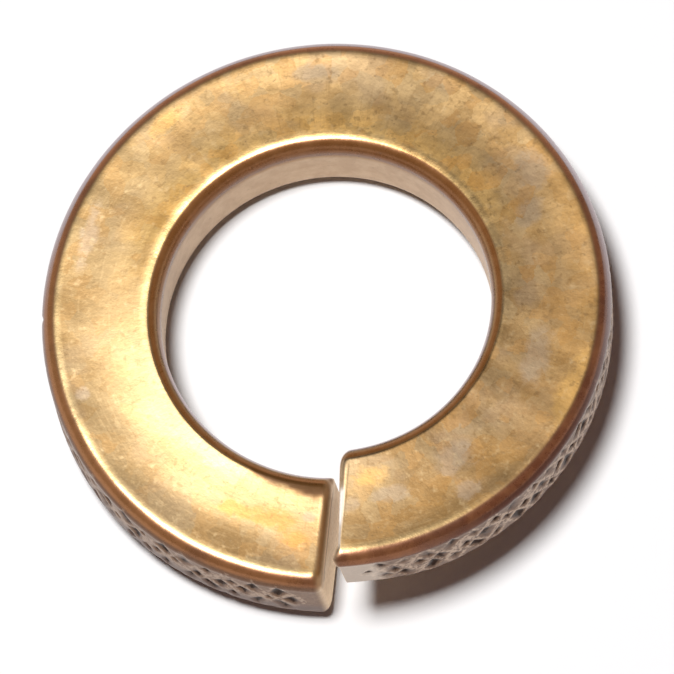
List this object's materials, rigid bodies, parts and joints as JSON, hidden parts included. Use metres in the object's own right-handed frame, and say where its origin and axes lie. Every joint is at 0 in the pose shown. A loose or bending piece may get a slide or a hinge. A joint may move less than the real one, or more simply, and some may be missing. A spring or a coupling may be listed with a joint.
{
  "type": "spring lock washer",
  "caption": "Helical spring lock washer of rounded rectangular bronze wire, split once and sprung open, with a diamond-knurled rim and a plain round bore.",
  "frame": {"origin": "on the bore axis, level with the lowest point of the coil", "axes": "+Z along the bore axis, away from the seat; the split faces -Y, with the low end on its -X side and the high end on its +X side"},
  "size_m": [0.022, 0.022, 0.0063],
  "materials": {
    "bronze": "satin, slightly tarnished copper alloy (silicon bronze)"
  },
  "bodies": {
    "root": {"washer": "bronze"}
  },
  "joints": []
}
